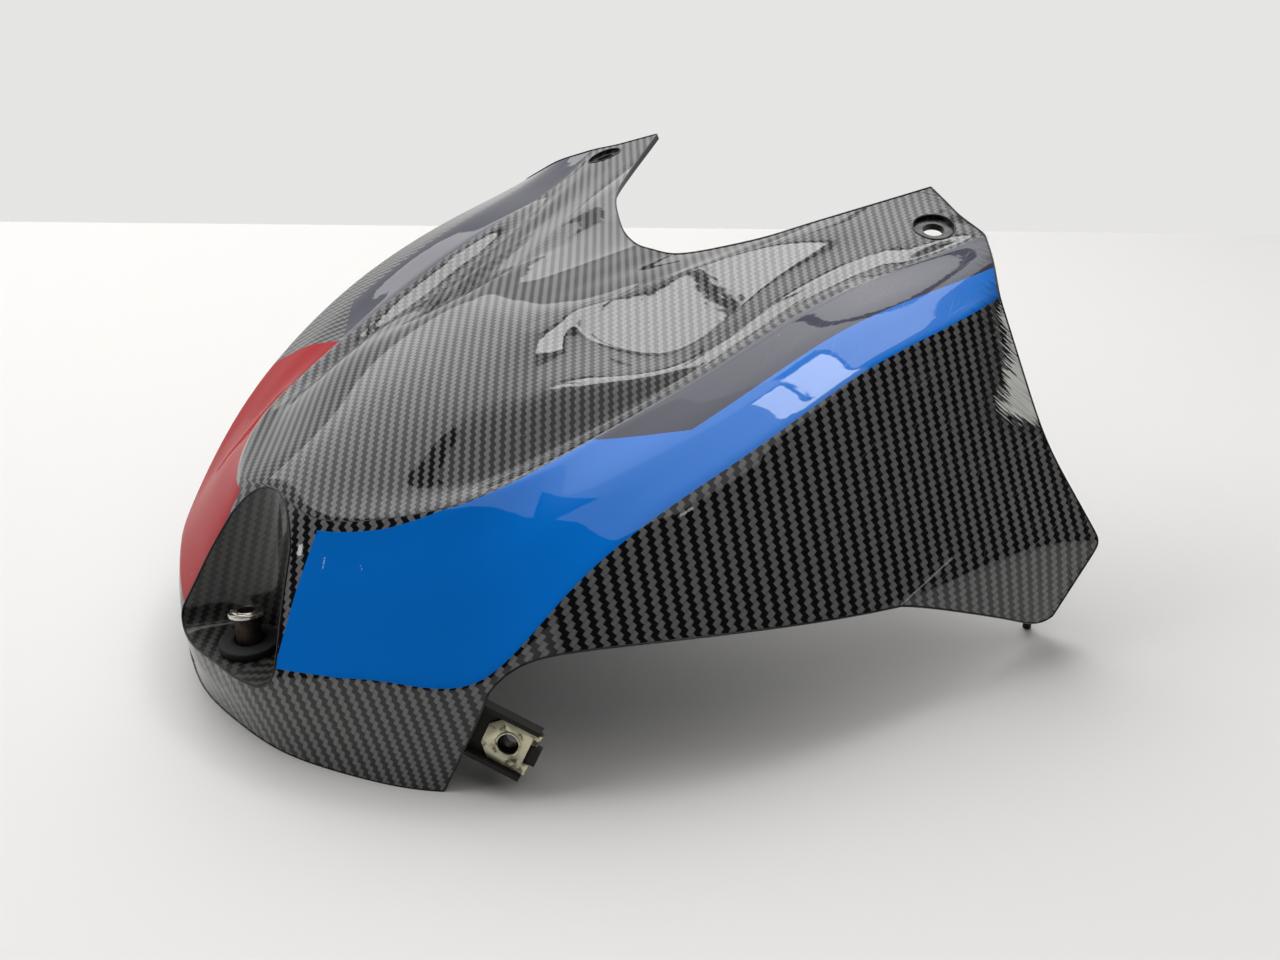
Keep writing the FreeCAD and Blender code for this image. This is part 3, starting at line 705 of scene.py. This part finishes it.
class Nodes:
    """Short ways to add shader nodes to one material."""

    def __init__(self, name):
        self.material = bpy.data.materials.new(name)
        self.material.use_nodes = True
        self.tree = self.material.node_tree
        self.shader = self.tree.nodes["Principled BSDF"]

    def new(self, kind, **settings):
        node = self.tree.nodes.new(kind)
        for key, value in settings.items():
            setattr(node, key, value)
        return node

    def feed(self, socket, value):
        if isinstance(value, bpy.types.NodeSocket):
            self.tree.links.new(value, socket)
        else:
            socket.default_value = value

    def set(self, **values):
        for key, value in values.items():
            self.feed(self.shader.inputs[key.replace("_", " ")], value)

    def wired(self, kind, values, out=0, **settings):
        """One output of a new node, whose inputs are given by name or number."""
        node = self.new(kind, **settings)
        for key, value in values.items():
            self.feed(node.inputs[key], value)
        return node.outputs[out]

    def math(self, operation, *values, clamp=False):
        return self.wired("ShaderNodeMath", dict(enumerate(values)), operation=operation, use_clamp=clamp)

    def plus(self, a, b):
        return self.math("ADD", a, b)

    def minus(self, a, b):
        return self.math("SUBTRACT", a, b)

    def times(self, a, b):
        return self.math("MULTIPLY", a, b)

    def vector(self, operation, *values, out=0):
        return self.wired("ShaderNodeVectorMath", dict(enumerate(values)), out, operation=operation)

    def ramp(self, value, low, high):
        values = {"Value": value, "From Min": low, "From Max": high}
        return self.wired("ShaderNodeMapRange", values, "Result", interpolation_type="SMOOTHSTEP")

    def mix(self, share, a, b):
        return self.wired("ShaderNodeMix", {0: share, 6: a, 7: b}, 2, data_type="RGBA")

    def blend(self, share, a, b):
        return self.wired("ShaderNodeMix", {0: share, 2: a, 3: b}, 0, data_type="FLOAT")

    def noise(self, vector, scale, detail=2.0):
        return self.wired("ShaderNodeTexNoise", {"Vector": vector, "Scale": scale, "Detail": detail}, "Fac")

    def parts(self, vector):
        node = self.new("ShaderNodeSeparateXYZ")
        self.feed(node.inputs[0], vector)
        return node.outputs[:3]

    def joined(self, *values):
        return self.wired("ShaderNodeCombineXYZ", dict(enumerate(values)))

    def attribute(self, name):
        return self.new("ShaderNodeAttribute", attribute_name=name).outputs["Vector"]

    def place(self):
        """Object coordinates in millimetres."""
        return self.vector("MULTIPLY", self.new("ShaderNodeTexCoord").outputs["Object"], (1000, 1000, 1000))

    def bump(self, height, strength, distance):
        values = {"Height": height, "Strength": strength, "Distance": distance}
        return self.wired("ShaderNodeBump", values, "Normal")

    def twill(self, across, along):
        """Light strips of a two by two twill as 1, and a painted shade that darkens each tow towards its
        edges for its rounding.
        """
        p, q = self.plus(along, across), self.minus(along, across)
        step = self.minus(self.math("FLOOR", p), self.math("FLOOR", q))
        light = self.math("LESS_THAN", self.math("FLOORED_MODULO", step, 4.0), 1.5)
        side = self.blend(light, self.math("FRACT", p), self.math("FRACT", q))
        middle = self.minus(self.times(side, 2.0), 1.0)
        # painted shade: a rounded profile across each tow, lighter in its middle and darker at its edges
        tow_shading = self.minus(1.0, self.times(self.times(middle, middle), 0.3))
        return light, tow_shading

    def streaks(self, a, b, angle, long, fine, low, high):
        """Fine lines at an angle over two flat coordinates."""
        c, s = math.cos(math.radians(angle)), math.sin(math.radians(angle))
        along = self.plus(self.times(a, c / long), self.times(b, s / long))
        across = self.minus(self.times(b, c / fine), self.times(a, s / fine))
        return self.ramp(self.noise(self.joined(along, across, 0.0), 1.0, 3.0), low, high)

    def line(self, place, start, end, wide, rough):
        """A mark along a line between two points, with a ragged edge."""
        start = Vector(start) - Vector((SHIFT_X, 0, 0))
        way = Vector(end) - Vector((SHIFT_X, 0, 0)) - start
        off = self.vector("SUBTRACT", place, start)
        reach = self.vector("DOT_PRODUCT", off, way, out=1)
        share = self.math("DIVIDE", reach, way.length_squared, clamp=True)
        nearest = self.wired("ShaderNodeVectorMath", {0: way, "Scale": share}, operation="SCALE")
        gap = self.vector("DISTANCE", off, nearest, out=1)
        wobble = self.minus(self.noise(place, MARK_WOBBLE), 0.5)
        return self.ramp(self.plus(gap, self.times(wobble, rough)), wide, wide * MARK_CORE)


CARBON_LIGHT, CARBON_DARK = (0.165, 0.165, 0.165, 1), (0.006, 0.006, 0.007, 1)
BLUE, RED, GRAPHITE = (0.001, 0.17, 0.66, 1), (0.36, 0.012, 0.016, 1), (0.018, 0.018, 0.045, 1)
# the white of bared paint, also used for the painted highlight along the wing's fold
BARE_AND_GLINT, SCUFFED = (0.82, 0.82, 0.78, 1), (0.035, 0.034, 0.034, 1)

# Old marks on the near side, and one painted highlight along the fold at the wing's lower corner: start and
# end, half width, raggedness, strength
MARKS_AND_GLINT = [((20.8, -22.4, 73.5), (20.2, -22.8, 71.6), 1.3, 2.4, 0.9),
         ((109, -117, 86.7), (113.5, -118.3, 88.3), 0.5, 0.7, 0.6),
         # painted highlight: a pale line rising from the lower edge along the wing's fold, standing in for
         # the crease's glint
         ((177, -163.9, 41.5), (203, -167.5, 51.5), 0.5, 0.9, 0.3),
         ((26, -31, 74), (22, -33, 68), 0.35, 1.0, 0.5),
         ((30, -44, 71), (29, -47, 68), 0.3, 1.0, 0.35),
         ((118, -120, 91), (128, -122.5, 96), 0.3, 0.8, 0.3)]
MARK_WOBBLE, MARK_CORE = 0.9, 0.6

# Wear: angle of the scrape's streaks, how far its rag and scuffs reach, and where fine scratches fade
SCRAPE_ANGLE, SCRAPE_RAG, SCUFF_REACH, SCUFF_FADE = 128, 15.0, 20.0, 16.0
SCRATCH_FADE, SCRATCH_FULL, SCUFF_STRENGTH = 150.0, 30.0, 0.8
SCRATCH, DUST = (0.5, 0.5, 0.5, 1), (0.45, 0.43, 0.40, 1)
PAINT_EDGE, FAR_LACQUER_CUT = 0.08, 0.65


def skin_material():
    n = Nodes("carbon_skin")
    across, along, _ = n.parts(n.attribute("weave"))
    field, band, scrape = n.parts(n.attribute("paint"))
    end, down, side = n.parts(n.attribute("place"))
    place = n.place()
    light, tow_shading = n.twill(across, along)
    shade = n.mix(light, CARBON_DARK, CARBON_LIGHT)
    # painted shade: the weave's colour darkened towards the edges of each tow
    shaded_weave = n.vector("MULTIPLY", shade, n.joined(tow_shading, tow_shading, tow_shading))
    far = n.math("GREATER_THAN", side, 0.0)
    paint = n.mix(far, BLUE, RED)
    in_field, in_band = n.ramp(field, -PAINT_EDGE, PAINT_EDGE), n.ramp(band, -PAINT_EDGE, PAINT_EDGE)
    colour = n.mix(in_band, n.mix(in_field, shaded_weave, paint), GRAPHITE)
    shallow = n.streaks(end, down, 12, 40, 0.7, 0.60, 0.72)
    steep = n.streaks(end, down, 52, 30, 0.8, 0.62, 0.74)
    fine = n.times(n.math("MAXIMUM", shallow, steep), n.ramp(end, SCRATCH_FADE, SCRATCH_FULL))
    colour = n.mix(n.times(fine, 0.16), colour, SCRATCH)
    rag = n.minus(n.streaks(end, down, SCRAPE_ANGLE, 14, 0.8, 0.25, 0.75), 0.5)
    raw = n.plus(scrape, n.times(rag, SCRAPE_RAG))
    near = n.ramp(n.plus(raw, SCUFF_REACH), 0.0, SCUFF_FADE)
    scuff = n.times(n.times(near, n.streaks(end, down, SCRAPE_ANGLE, 22, 0.6, 0.36, 0.60)), SCUFF_STRENGTH)
    colour = n.mix(scuff, colour, SCUFFED)
    bare_and_glint = n.ramp(raw, -0.2, 0.6)
    gouges = n.times(n.streaks(end, down, SCRAPE_ANGLE, 26, 0.45, 0.50, 0.62), 0.4)
    # wear marks, and the painted highlight along the wing's fold, drawn in the bared white
    for start, stop, wide, rough, strength in MARKS_AND_GLINT:
        bare_and_glint = n.math("MAXIMUM", bare_and_glint, n.times(n.line(place, start, stop, wide, rough), strength))
    colour = n.mix(bare_and_glint, colour, n.mix(gouges, BARE_AND_GLINT, SCUFFED))
    specks = n.new("ShaderNodeTexVoronoi")
    n.feed(specks.inputs["Vector"], place)
    n.feed(specks.inputs["Scale"], 0.16)
    chosen = n.math("LESS_THAN", n.parts(specks.outputs["Color"])[0], 0.10)
    dust = n.times(n.ramp(specks.outputs["Distance"], 0.05, 0.03), chosen)
    colour = n.mix(n.times(dust, 0.6), colour, DUST)
    whole = n.minus(1.0, n.math("MAXIMUM", bare_and_glint, scuff))
    thinner = n.minus(1.0, n.times(n.times(far, in_field), FAR_LACQUER_CUT))
    n.set(Base_Color=colour, Roughness=0.45, Specular_IOR_Level=0.0)
    n.set(Coat_Weight=n.times(whole, thinner))
    n.set(Coat_Roughness=n.plus(n.times(fine, 0.25), 0.03))
    n.set(Coat_Normal=n.bump(n.noise(place, 0.22, 1.0), 0.05, 0.0004))
    return n.material


# The pocket's light strips are a darker copy of the skin's, as painted shade in the recess
POCKET_SEAM, POCKET_LEAN, POCKET_SHADED_STRIP = -12.0, 0.3, (0.05, 0.05, 0.044, 1)


def pocket_material():
    """The print carried on down the pocket's walls, and turned at the near corner, with its light strips
    painted darker as shade in the hollow.
    """
    n = Nodes("carbon_pocket")
    x, y, z = n.parts(n.place())
    turned_y = n.minus(n.math("ABSOLUTE", n.minus(y, POCKET_SEAM)), -POCKET_SEAM)
    level, run = n.minus(x, turned_y), n.plus(x, turned_y)
    lean, slope = n.times(level, math.sqrt(0.5)), n.times(run, math.sqrt(0.5))
    across = n.times(n.minus(lean, n.times(z, POCKET_LEAN)), 2 / STRIP_SIDE)
    along = n.times(n.plus(slope, z), 1 / TOOTH_SIDE)
    light, _ = n.twill(across, along)
    # painted shade: light strips much darker than CARBON_LIGHT
    shade = n.mix(light, CARBON_DARK, POCKET_SHADED_STRIP)
    n.set(Base_Color=shade, Roughness=0.45, Specular_IOR_Level=0.2, Coat_Weight=0.6, Coat_Roughness=0.08)
    return n.material


GRAIN_STRENGTH = 0.3


def plain_material(name, colour, roughness, grain=0.0, grain_size=1.0):
    """One colour, with a fine grain in its surface."""
    n = Nodes(name)
    n.set(Base_Color=(*colour, 1), Roughness=roughness, Specular_IOR_Level=0.35)
    if grain:
        n.set(Normal=n.bump(n.noise(n.place(), 1 / grain_size), GRAIN_STRENGTH, grain / 1000))
    return n.material


def metal_material(name, colour, dirt, roughness, low, high):
    """Plated metal with dirt in patches."""
    n = Nodes(name)
    place = n.place()
    patch = n.ramp(n.noise(place, 0.35, 4.0), low, high)
    n.set(Base_Color=n.mix(patch, (*colour, 1), (*dirt, 1)), Metallic=n.blend(patch, 1.0, 0.2))
    n.set(Roughness=n.blend(patch, roughness, 0.75))
    return n.material


def rounded(corners, radius, steps=4):
    """A closed outline with each corner eased."""
    corners = np.array(corners, float)
    points = []
    for k, corner in enumerate(corners):
        ends = []
        for other in (corners[k - 1], corners[(k + 1) % len(corners)]):
            way = other - corner
            length = np.linalg.norm(way)
            ends.append(corner + way / length * min(radius, 0.45 * length))
        for t in np.linspace(0, 1, steps + 1):
            points.append((1 - t) ** 2 * ends[0] + 2 * t * (1 - t) * corner + t ** 2 * ends[1])
    return np.array(points)


def turned(name, profile, foot, axis, sides=96):
    """A closed outline of radius and height, turned about an axis."""
    out, way = circle(axis, sides)
    points = np.concatenate([np.array(foot, float) + way * h + out * r for r, h in profile])
    count = len(profile)
    return make_object(name, points, ring_faces(sides, [(k, (k + 1) % count) for k in range(count)]))


def clothed(piece, materials):
    """Materials in the order of the face slots, which clearing the old ones would lose."""
    mesh = piece.data
    slots = slots_of(mesh)
    mesh.materials.clear()
    for material in materials:
        mesh.materials.append(material)
    mesh.polygons.foreach_set("material_index", slots)


def finished(piece, materials, node):
    """Materials, smooth shading, and the piece's place in the frame."""
    clothed(piece, materials)
    piece.data.shade_smooth()
    piece.data.set_sharp_from_angle(angle=math.radians(METAL_SHARP))
    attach(piece, "root")
    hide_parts(node)


def from_axis(point, foot, axis):
    """Height along an axis and distance from it in millimetres, of a point in metres."""
    off = (point - foot) * 1000
    high = off.dot(axis)
    return high, (off - axis * high).length


def make_grommet():
    low, high = POCKET_FLOOR - WALL - GROMMET_LIP, POCKET_FLOOR + GROMMET_LIP
    bore, step = SLEEVE_RADIUS, low + GROMMET_LIP
    corners = [(bore, low), (GROMMET_RADIUS, low), (GROMMET_RADIUS, step), (GROMMET_NECK, step),
               (GROMMET_NECK, POCKET_FLOOR), (GROMMET_RADIUS, POCKET_FLOOR), (GROMMET_RADIUS, high),
               (bore + MOUTH_WIDE, high), (bore, high - MOUTH_DEEP)]
    grommet = turned("nose_grommet_rubber", rounded(corners, RUBBER_EASE), (SEAT_X, 0, 0), UPWARD)
    points = np.array([v.co for v in grommet.data.vertices])
    out = np.hypot(points[:, 0] * 1000 + SHIFT_X - SEAT_X, points[:, 1] * 1000)
    inside = out < bore + MOUTH_WIDE + MARGIN
    rise = points[:, 2] - (POCKET_FLOOR - WALL / 2) / 1000
    lean = [SLEEVE_AXIS.x / SLEEVE_AXIS.z, SLEEVE_AXIS.y / SLEEVE_AXIS.z]
    points[inside, :2] += np.outer(rise[inside], lean)
    grommet.data.vertices.foreach_set("co", points.ravel())
    return grommet


def make_sleeve():
    top, step = SLEEVE_LONG, SLEEVE_LONG - FLANGE_THICK - FLANGE_COLLAR
    cap = top - FLANGE_COLLAR
    corners = [(SLEEVE_BORE, 0), (SLEEVE_RADIUS, 0), (SLEEVE_RADIUS, step), (FLANGE_RADIUS, step),
               (FLANGE_RADIUS, cap), (SLEEVE_RADIUS + RIM_OUT, cap), (SLEEVE_RADIUS + RIM_IN, top),
               (SLEEVE_BORE, top)]
    foot = Vector((SEAT_X, 0, POCKET_FLOOR - WALL / 2)) - SLEEVE_AXIS * SLEEVE_BELOW
    sleeve = turned("flanged_sleeve_metal", rounded(corners, SLEEVE_EASE), foot, SLEEVE_AXIS)
    base = Vector(metres(foot))
    for face in sleeve.data.polygons:
        high, out = from_axis(face.center, base, SLEEVE_AXIS)
        face.material_index = 0 if high > step - BRIGHT_BELOW and out > SLEEVE_BORE + BRIGHT_OUT else 1
    return sleeve


def bend(x, z, start, stop):
    """The round of the clip's sheet between two angles."""
    turns = np.linspace(start, stop, 7)
    return [(x + CLIP_BEND * math.cos(t), z + CLIP_BEND * math.sin(t)) for t in turns]


def make_clip(sign, side):
    """Bent sheet over the tab's end, its screw hole's collar and the nut below."""
    end, low = TAB_END + CLIP_SHEET, -TAB_THICK - CLIP_SHEET
    section = [(-CLIP_BACK, CLIP_SHEET)]
    section += bend(end - CLIP_BEND, CLIP_SHEET - CLIP_BEND, math.pi / 2, 0)
    section += bend(end - CLIP_BEND, low + CLIP_BEND, 0, -math.pi / 2)
    section += [(-CLIP_BACK, low), (-CLIP_BACK, -TAB_THICK), (TAB_END, -TAB_THICK), (TAB_END, 0)]
    clip = tab_block("clip_nut", section + [(-CLIP_BACK, 0)], 1, (-CLIP_HALF, CLIP_HALF), sign)
    tip, edge, cut = CLIP_BACK + CLIP_OVER, CLIP_HALF + CLIP_OVER, CLIP_CHAMFER + 2 * CLIP_OVER
    for way in (-1, 1):
        corner = [(-tip, way * (edge - cut)), (-tip, way * edge), (cut - tip, way * edge)]
        tool = tab_block("corner", corner, 2, (low - 2 * CLIP_OVER, CLIP_CUT_TOP), sign)
        clip = combine(clip, tool, "DIFFERENCE")
    half = TONGUE_HALF + CLIP_PLAY
    mouth = oblong(TAB_END - SLOT_IN, end + CLIP_OVER, -half, half)
    tool = tab_block("mouth", mouth, 2, (low - CLIP_OVER, CLIP_CUT_TOP), sign)
    clip = combine(clip, tool, "DIFFERENCE")
    heights = (SCREW_FOOT, SCREW_TOP, low - NUT_HIGH, CLIP_SHEET, 0)
    foot, top, nut_foot, sheet_top, middle = on_tab([(0, 0, z) for z in heights], sign)
    way = top - foot
    hole = cylinder("hole", CLIP_HOLE, CLIP_HOLE_LONG, foot, way, 1)
    bore = cylinder("bore", NUT_BORE, NUT_BORE_LONG, nut_foot - way * 2, way, 1)
    clip = combine(combine(clip, hole, "DIFFERENCE"), bore, "DIFFERENCE")
    ease = clip.modifiers.new("ease", "BEVEL")
    ease.width, ease.segments = CLIP_EASE / 1000, 2
    ease.limit_method, ease.angle_limit = "ANGLE", math.radians(EASE_ANGLE)
    settle(clip)
    nut = rounded(oblong(NUT_BORE, NUT_RADIUS, 0, NUT_HIGH + NUT_LAP), NUT_EASE)
    ring = rounded([(CLIP_HOLE, -COLLAR_LAP), (CLIP_HOLE + COLLAR_WIDE, -COLLAR_LAP),
                    (CLIP_HOLE + COLLAR_TOP, COLLAR_HIGH), (CLIP_HOLE, COLLAR_HIGH)], NUT_EASE)
    added = [turned("nut", nut, nut_foot, way), turned("collar", ring, sheet_top, way)]
    clip = joined("clip_nut_" + side + "_sheet", [clip] + added)
    base, axis = Vector(metres(middle)), Vector(way).normalized()
    for face in clip.data.polygons:
        high, out = from_axis(face.center, base, axis)
        if -TAB_THICK - MARGIN < high < -MARGIN or (high < 0 and out < NUT_BORE + BORE_MARGIN):
            face.material_index = 1
    return clip


shell = make_shell()
dress_shell(shell)
shell_materials = [skin_material(),
                   plain_material("black_plastic", (0.011, 0.010, 0.008), 0.6, 0.05, 0.6),
                   plain_material("cut_edge", (0.010, 0.010, 0.011), 0.4),
                   pocket_material()]
shell.name = "tank_cover"
clothed(shell, shell_materials)
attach(shell, "root")
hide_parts("tank_cover_shell")
edges = make_rounded_edges(shell.data)
clothed(edges, [plain_material("lacquered_edge", (0.014, 0.014, 0.014), 0.22)])
edges.data.shade_smooth()
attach(edges, "root")
rubber = plain_material("black_rubber", (0.016, 0.016, 0.016), 0.72, 0.08, 0.5)
bright = metal_material("worn_plate", (0.66, 0.62, 0.57), (0.20, 0.13, 0.09), 0.24, 0.56, 0.72)
dark = metal_material("dark_steel", (0.07, 0.052, 0.042), (0.02, 0.014, 0.012), 0.5, 0.40, 0.60)
zinc = metal_material("yellow_zinc", (0.72, 0.69, 0.50), (0.10, 0.075, 0.05), 0.42, 0.52, 0.70)
finished(make_grommet(), [rubber], "nose_grommet")
finished(make_sleeve(), [bright, dark], "flanged_sleeve")
for sign, side in ((1, "left"), (-1, "right")):
    finished(make_clip(sign, side), [zinc, dark], "clip_nut_" + side)


# Stage: a pale table, a light wall behind it, and soft lights
def flat(name, corners, material):
    mesh = bpy.data.meshes.new(name)
    mesh.from_pydata(corners, [], [list(range(len(corners)))])
    mesh.materials.append(material)
    placed(name, mesh)


def soft_light(name, place, aim, wide, high, brightness):
    """A lit panel; brightness is what it looks like from the front."""
    lamp = bpy.data.lights.new(name, "AREA")
    lamp.shape, lamp.size, lamp.size_y = "RECTANGLE", wide, high
    lamp.energy = brightness * math.pi * wide * high
    piece = placed(name, lamp)
    piece.location = place
    piece.rotation_euler = (Vector(aim) - Vector(place)).to_track_quat("-Z", "Y").to_euler()
    return piece


def pale_wall():
    """A wall that looks the same from the camera and in the lacquer, whatever light falls on it."""
    n = Nodes("pale_wall")
    n.set(Base_Color=(0.74, 0.74, 0.755, 1), Roughness=0.9)
    path = n.new("ShaderNodeLightPath")
    seen = n.math("MAXIMUM", path.outputs["Is Camera Ray"], path.outputs["Is Glossy Ray"])
    glow, choice = n.new("ShaderNodeEmission"), n.new("ShaderNodeMixShader")
    n.feed(glow.inputs["Color"], (0.79, 0.785, 0.78, 1))
    for index, value in ((0, seen), (1, n.shader.outputs[0]), (2, glow.outputs[0])):
        n.feed(choice.inputs[index], value)
    n.feed(n.tree.nodes["Material Output"].inputs["Surface"], choice.outputs[0])
    return n.material


def room():
    """Light from above and behind, and a darker room on the camera's side."""
    world = bpy.data.worlds.new("room")
    world.use_nodes = True
    tree = world.node_tree
    ground = tree.nodes["Background"]
    toward, ramp = tree.nodes.new("ShaderNodeVectorMath"), tree.nodes.new("ShaderNodeMapRange")
    toward.operation, ramp.interpolation_type = "DOT_PRODUCT", "SMOOTHSTEP"
    toward.inputs[1].default_value = ROOM_LIGHT
    for key, value in (("From Max", ROOM_SPREAD), ("To Min", ROOM_DARK), ("To Max", ROOM_BRIGHT)):
        ramp.inputs[key].default_value = value
    tree.links.new(tree.nodes.new("ShaderNodeTexCoord").outputs["Generated"], toward.inputs[0])
    tree.links.new(toward.outputs["Value"], ramp.inputs["Value"])
    tree.links.new(ramp.outputs["Result"], ground.inputs["Strength"])
    ground.inputs["Color"].default_value = (0.98, 0.99, 1.0, 1)
    return world


CEILING, WALL_GAP, TABLE_DEEP = 1.15, 1.6, 4.0

# Lit panes and sky on the ceiling: reach along X and along Y, and brightness
PANELS = [("low_pane_left", (0.27, 0.367), (0.0, 0.135), 6.8),
          ("low_pane_right", (0.387, 0.56), (0.0, 0.16), 6.8),
          ("tip_pane", (0.30, 0.56), (-0.14, 0.0), 6.8),
          ("side_pane", (0.58, 0.87), (0.0, 0.25), 1.9),
          ("high_pane_left", (0.40, 0.87), (0.25, 0.75), 1.9),
          ("high_pane_right", (0.94, 1.40), (0.0, 0.75), 1.9),
          ("sky_left", (-0.50, 0.40), (0.15, 2.2), 1.5),
          ("sky_right", (0.40, 1.60), (0.75, 2.2), 1.4),
          ("sky_near", (-0.45, 0.30), (-2.2, 0.0), 0.95),
          ("sky_side", (0.30, 0.56), (-1.3, -0.14), 1.0),
          ("sky_middle", (-0.25, 0.27), (0.0, 0.15), 1.05)]
FRONT_PLACE, FRONT_AIM, FRONT_SIZE, FRONT_BRIGHT = (-1.2, 1.2, 1.4), (0, 0, 0.05), (1.3, 1.0), 3.5
ROOM_LIGHT, ROOM_SPREAD, ROOM_DARK, ROOM_BRIGHT = (0.5, 0.853, 0.15), 0.6, 0.03, 0.8
EYE = Vector((-0.32861, -0.3734, 0.290))
RIGHT = Vector((0.6927, -0.7212, 0.0)).normalized()
AHEAD = Vector((0.6465, 0.6209, -0.4434)).normalized()
FOCAL, WIDE, HIGH, SENSOR = 1300.0, 1280.0, 960.0, 36.0

# Pixels on the line of the table's far edge, beyond the picture's sides
TABLE_LEFT, TABLE_RIGHT = (-1600, 206), (2900, 250)


def on_table(px, py):
    """Where a place in the picture meets the table."""
    ray = AHEAD + RIGHT * (px - WIDE / 2) / FOCAL + RIGHT.cross(AHEAD) * (HIGH / 2 - py) / FOCAL
    return EYE + ray * (-EYE.z / ray.z)


table = plain_material("pale_table", (0.80, 0.785, 0.765), 0.55)
wall = pale_wall()
far_left, far_right = on_table(*TABLE_LEFT), on_table(*TABLE_RIGHT)
across = far_right - far_left
away = Vector((-across.y, across.x, 0)).normalized()
toward = away * TABLE_DEEP
flat("table", [far_left, far_left - toward, far_right - toward, far_right], table)
low, high = away * WALL_GAP - Vector((0, 0, WALL_GAP)), away * WALL_GAP + Vector((0, 0, WALL_GAP))
flat("backdrop", [far_left + low, far_right + low, far_right + high, far_left + high], wall)
for name, x_range, y_range, brightness in PANELS:
    middle = Vector((sum(x_range) / 2, sum(y_range) / 2, 0))
    wide, deep = x_range[1] - x_range[0], y_range[1] - y_range[0]
    soft_light(name, middle + Vector((0, 0, CEILING)), middle, wide, deep, brightness)
front = soft_light("front", FRONT_PLACE, FRONT_AIM, *FRONT_SIZE, FRONT_BRIGHT)
front.visible_glossy = False
bpy.context.scene.world = room()
bpy.context.scene.view_settings.view_transform = "Standard"

camera = placed("camera", bpy.data.cameras.new("camera"))
camera.data.sensor_width, camera.data.lens = SENSOR, SENSOR * FOCAL / WIDE
up = RIGHT.cross(AHEAD)
camera.matrix_world = Matrix(((RIGHT.x, up.x, -AHEAD.x, EYE.x), (RIGHT.y, up.y, -AHEAD.y, EYE.y),
                              (RIGHT.z, up.z, -AHEAD.z, EYE.z), (0, 0, 0, 1)))
bpy.context.scene.camera = camera
